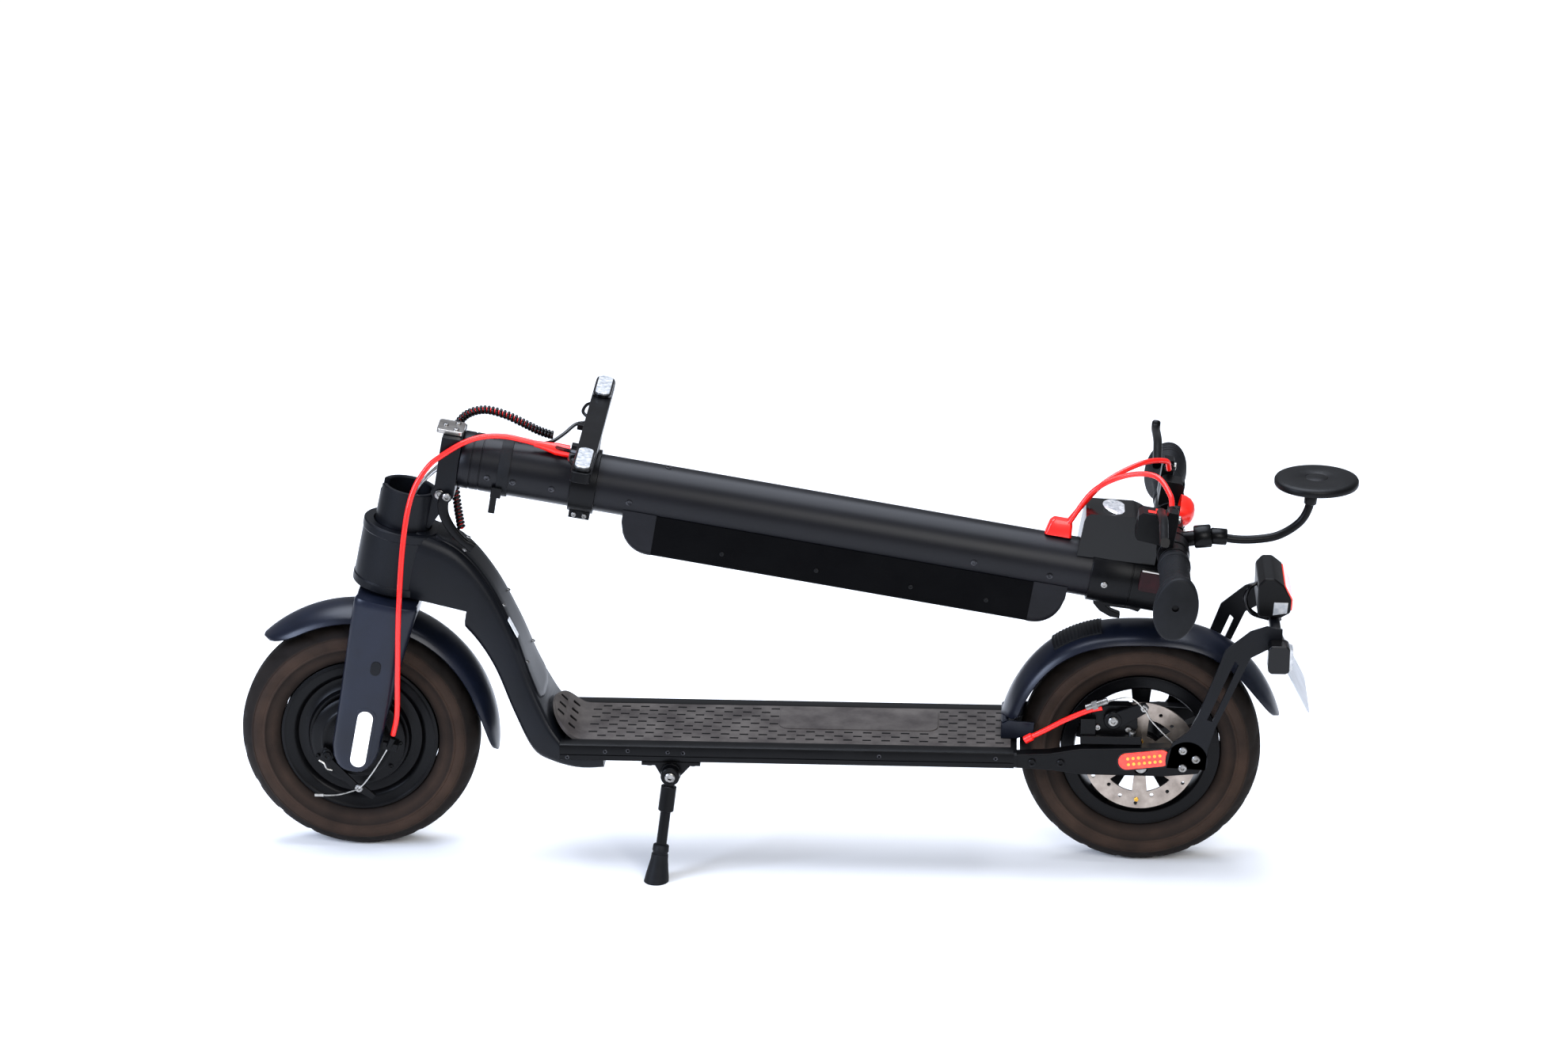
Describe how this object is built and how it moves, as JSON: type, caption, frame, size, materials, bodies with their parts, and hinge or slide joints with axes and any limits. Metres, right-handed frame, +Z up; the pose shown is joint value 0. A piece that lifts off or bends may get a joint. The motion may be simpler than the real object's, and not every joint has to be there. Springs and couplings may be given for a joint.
{
  "type": "electric kick scooter",
  "caption": "Folding electric kick scooter with stem battery, light bar, mirror and side stand, shown folded on its stand.",
  "frame": {"origin": "centre of the bounding box, on the ground under the tyres and the stand", "axes": "+X runs from the front wheel to the rear wheel, +Y is the scooter's right side, +Z is up"},
  "size_m": [1.1714, 0.428, 0.5049],
  "materials": {
    "front_tyre": "worn rubber",
    "hub_motor": "matte black",
    "rear_tyre": "worn rubber",
    "rear_rim": "satin black powder coat",
    "brake_disc": "bare steel",
    "deck_tray": "matte black",
    "deck_bottom_cover": "moulded black",
    "controller_box": "cast",
    "neck_frame": "satin black powder coat",
    "neck_cover": "satin black powder coat",
    "deck_mat": "moulded rubber",
    "dropout_left": "satin black powder coat",
    "dropout_right": "satin black powder coat",
    "rear_axle": "bare steel",
    "rear_fender": "satin black powder coat",
    "lamp_bracket": "matte black",
    "tail_light": "moulded black",
    "indicator_left": "moulded black",
    "indicator_right": "moulded black",
    "number_plate": "blank white plate",
    "brake_caliper": "matte black",
    "caliper_arm": "matte black",
    "rear_brake_cable": "red cable jacket",
    "stand_bracket": "satin black powder coat",
    "stand_leg": "satin black powder coat",
    "stand_foot": "moulded rubber",
    "mirror_arm": "moulded black",
    "mirror_head": "moulded black",
    "front_brake_cable": "red cable jacket",
    "cable_loom": "moulded black",
    "fork": "satin black powder coat",
    "front_axle": "bare steel",
    "headset_bearing": "bare steel",
    "fork_collar": "satin black powder coat",
    "hinge_pin": "bare steel",
    "front_fender": "satin black powder coat",
    "drum_plate": "matte black",
    "drum_arm": "matte black",
    "hinge_block": "satin black powder coat",
    "stem_tube": "matte black",
    "stem_head": "matte black",
    "headlight_housing": "moulded black",
    "handlebar": "matte black",
    "grip_left": "moulded rubber",
    "grip_right": "moulded rubber",
    "latch_plate": "bare steel",
    "battery_case": "moulded black",
    "battery_cap_lower": "moulded black",
    "battery_cap_upper": "moulded black",
    "light_bar": "matte black",
    "perch_left": "matte black",
    "perch_right": "matte black",
    "brake_lever_left": "matte black",
    "brake_lever_right": "matte black",
    "switch_box": "moulded black",
    "throttle_housing": "moulded black",
    "throttle_lever": "moulded black",
    "horn_button": "red button",
    "fold_lever": "moulded black",
    "control_cables": "red cable jacket"
  },
  "bodies": {
    "frame": {"deck_tray": "deck_tray", "deck_bottom_cover": "deck_bottom_cover", "controller_box": "controller_box", "neck_frame": "neck_frame", "neck_cover": "neck_cover", "deck_mat": "deck_mat", "dropout_left": "dropout_left", "dropout_right": "dropout_right", "rear_axle": "rear_axle", "rear_fender": "rear_fender", "lamp_bracket": "lamp_bracket", "tail_light": "tail_light", "indicator_left": "indicator_left", "indicator_right": "indicator_right", "number_plate": "number_plate", "brake_caliper": "brake_caliper", "rear_brake_cable": "rear_brake_cable", "stand_bracket": "stand_bracket"},
    "steering": {"fork": "fork", "fork_collar": "fork_collar", "hinge_pin": "hinge_pin", "front_axle": "front_axle", "headset_bearing": "headset_bearing", "front_fender": "front_fender", "drum_plate": "drum_plate", "front_brake_cable": "front_brake_cable"},
    "front_wheel": {"front_tyre": "front_tyre", "hub_motor": "hub_motor"},
    "drum_lever": {"drum_arm": "drum_arm"},
    "rear_wheel": {"rear_tyre": "rear_tyre", "rear_rim": "rear_rim", "brake_disc": "brake_disc"},
    "caliper_lever": {"caliper_arm": "caliper_arm"},
    "stand": {"stand_leg": "stand_leg", "stand_foot": "stand_foot"},
    "stem": {"hinge_block": "hinge_block", "latch_plate": "latch_plate", "stem_tube": "stem_tube", "stem_head": "stem_head", "headlight_housing": "headlight_housing", "handlebar": "handlebar", "grip_left": "grip_left", "grip_right": "grip_right", "battery_case": "battery_case", "battery_cap_lower": "battery_cap_lower", "battery_cap_upper": "battery_cap_upper", "light_bar": "light_bar", "perch_left": "perch_left", "perch_right": "perch_right", "switch_box": "switch_box", "throttle_housing": "throttle_housing", "control_cables": "control_cables", "cable_loom": "cable_loom", "mirror_arm": "mirror_arm"},
    "lever_l": {"brake_lever_left": "brake_lever_left"},
    "lever_r": {"brake_lever_right": "brake_lever_right"},
    "thumb_throttle": {"throttle_lever": "throttle_lever"},
    "horn": {"horn_button": "horn_button"},
    "lock_lever": {"fold_lever": "fold_lever"},
    "mirror": {"mirror_head": "mirror_head"}
  },
  "joints": [
    {"name": "steering_turn", "type": "hinge", "parent": "frame", "child": "steering", "pos_m": [-0.40677, 0, 0.37154], "axis": [0.2079, 0, 0.9781], "range_deg": [-35, 35]},
    {"name": "front_wheel_spin", "type": "hinge", "parent": "steering", "child": "front_wheel", "pos_m": [-0.45875, 0, 0.127], "axis": [0, 1, 0], "continuous": true},
    {"name": "drum_lever_turn", "type": "hinge", "parent": "steering", "child": "drum_lever", "pos_m": [-0.48998, 0, 0.11473], "axis": [0, -1, 0], "range_deg": [0, 9]},
    {"name": "rear_wheel_spin", "type": "hinge", "parent": "frame", "child": "rear_wheel", "pos_m": [0.36925, 0, 0.127], "axis": [0, 1, 0], "continuous": true},
    {"name": "caliper_lever_turn", "type": "hinge", "parent": "frame", "child": "caliper_lever", "pos_m": [0.33925, -0.051, 0.176], "axis": [0, -1, 0], "range_deg": [0, 12]},
    {"name": "stand_fold", "type": "hinge", "parent": "frame", "child": "stand", "pos_m": [-0.12375, -0.076, 0.112], "axis": [0, -1, 0], "range_deg": [0, 86]},
    {"name": "stem_fold", "type": "hinge", "parent": "steering", "child": "stem", "pos_m": [-0.36558, 0, 0.40419], "axis": [0, -1, 0], "range_deg": [0, 87.4], "deforming": ["front_brake_cable", "cable_loom"]},
    {"name": "brake_lever_left_pull", "type": "hinge", "parent": "stem", "child": "lever_l", "pos_m": [0.38172, -0.084, 0.41298], "axis": [-0.9864, 0, 0.1644], "range_deg": [0, 14], "stiffness_Nm_per_rad": 0.3},
    {"name": "brake_lever_right_pull", "type": "hinge", "parent": "stem", "child": "lever_r", "pos_m": [0.38172, 0.084, 0.41298], "axis": [0.9864, 0, -0.1644], "range_deg": [0, 14], "stiffness_Nm_per_rad": 0.3},
    {"name": "throttle_press", "type": "hinge", "parent": "stem", "child": "thumb_throttle", "pos_m": [0.39619, 0.045, 0.36596], "axis": [0, 1, 0], "range_deg": [0, 40], "stiffness_Nm_per_rad": 0.05},
    {"name": "horn_press", "type": "slide", "parent": "stem", "child": "horn", "axis": [-0.9864, 0, 0.1644], "range_m": [0, 0.0014], "stiffness_N_per_m": 300},
    {"name": "lock_lever_pull", "type": "hinge", "parent": "stem", "child": "lock_lever", "pos_m": [-0.35646, -0.03, 0.40419], "axis": [0, 1, 0], "range_deg": [-25, 0], "stiffness_Nm_per_rad": 0.05},
    {"name": "mirror_tilt", "type": "hinge", "parent": "stem", "child": "mirror", "pos_m": [0.53825, -0.034, 0.431], "axis": [0, 1, 0], "range_deg": [-12, 12]}
  ],
  "couplings": [
    {"joint": "drum_lever_turn", "follows": "brake_lever_left_pull", "ratio": 0.6},
    {"joint": "caliper_lever_turn", "follows": "brake_lever_right_pull", "ratio": 0.8}
  ]
}
